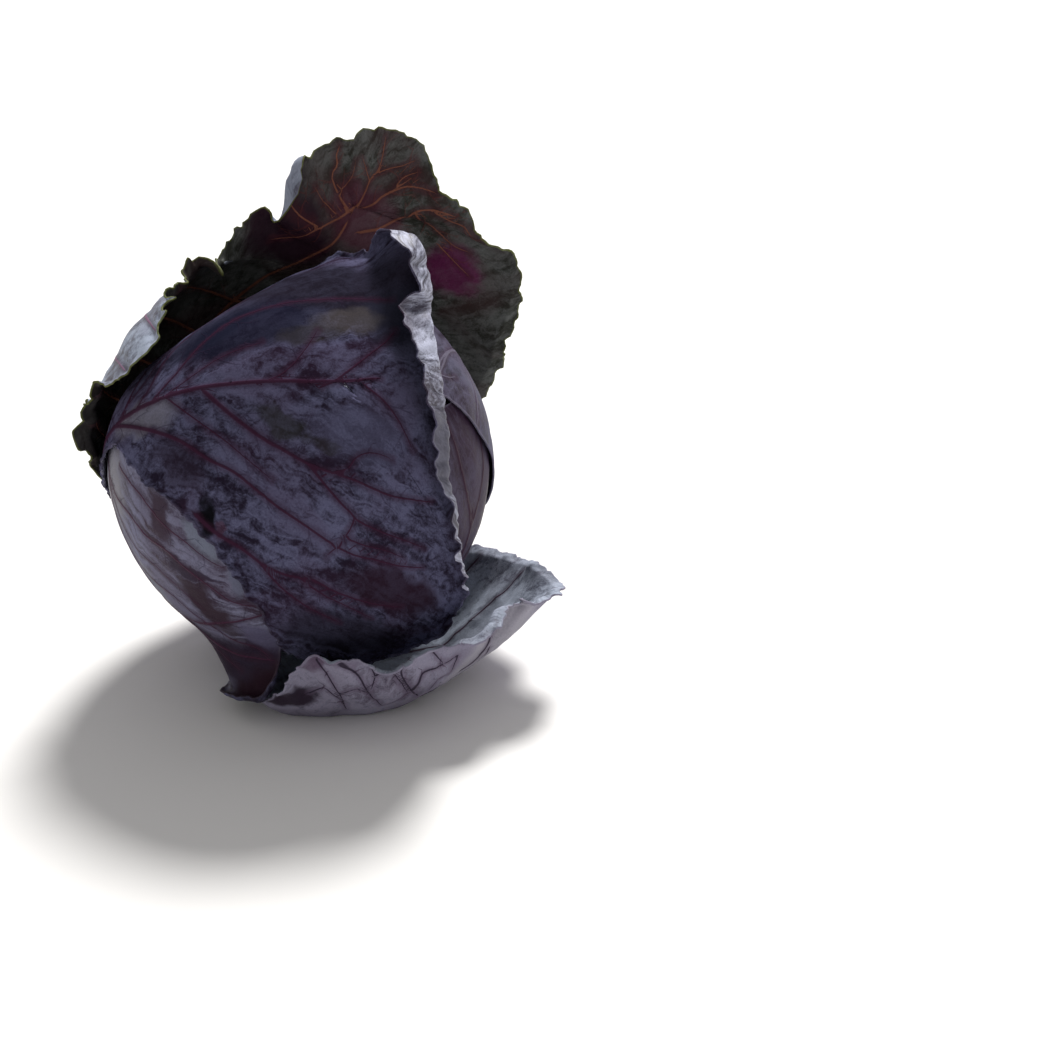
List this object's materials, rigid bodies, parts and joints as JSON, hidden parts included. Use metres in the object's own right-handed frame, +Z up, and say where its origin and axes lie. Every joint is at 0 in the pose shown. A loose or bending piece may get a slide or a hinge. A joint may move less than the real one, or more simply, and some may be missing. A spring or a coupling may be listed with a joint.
{
  "type": "red cabbage head",
  "caption": "Whole round red cabbage head lying on its side, with loose outer leaves and a cut stump.",
  "frame": {"origin": "centre of the bounding box's base, on the table", "axes": "+Z up, -Y towards the viewer of the folded front leaf, -X towards the stump"},
  "size_m": [0.1974, 0.1797, 0.2163],
  "materials": {
    "front_leaf": "slate purple leaf with a waxy bloom and purple-red veins",
    "side_leaf": "grey-lilac leaf with a waxy bloom and dark maroon patches",
    "far_leaf": "lilac-grey leaf with a waxy bloom",
    "under_leaf": "purple-grey leaf with a waxy bloom",
    "back_leaf": "dark green-grey and maroon inner face with glowing red veins, blue-grey waxy outer face",
    "lower_leaf": "lilac-grey waxy outer face with a dark network of veins",
    "heart": "tightly packed purple inner leaves",
    "stump": "cut stem, pale and fibrous"
  },
  "bodies": {
    "root": {"front_leaf": "front_leaf", "side_leaf": "side_leaf", "far_leaf": "far_leaf", "under_leaf": "under_leaf", "back_leaf": "back_leaf", "lower_leaf": "lower_leaf", "heart": "heart", "stump": "stump"}
  },
  "joints": []
}
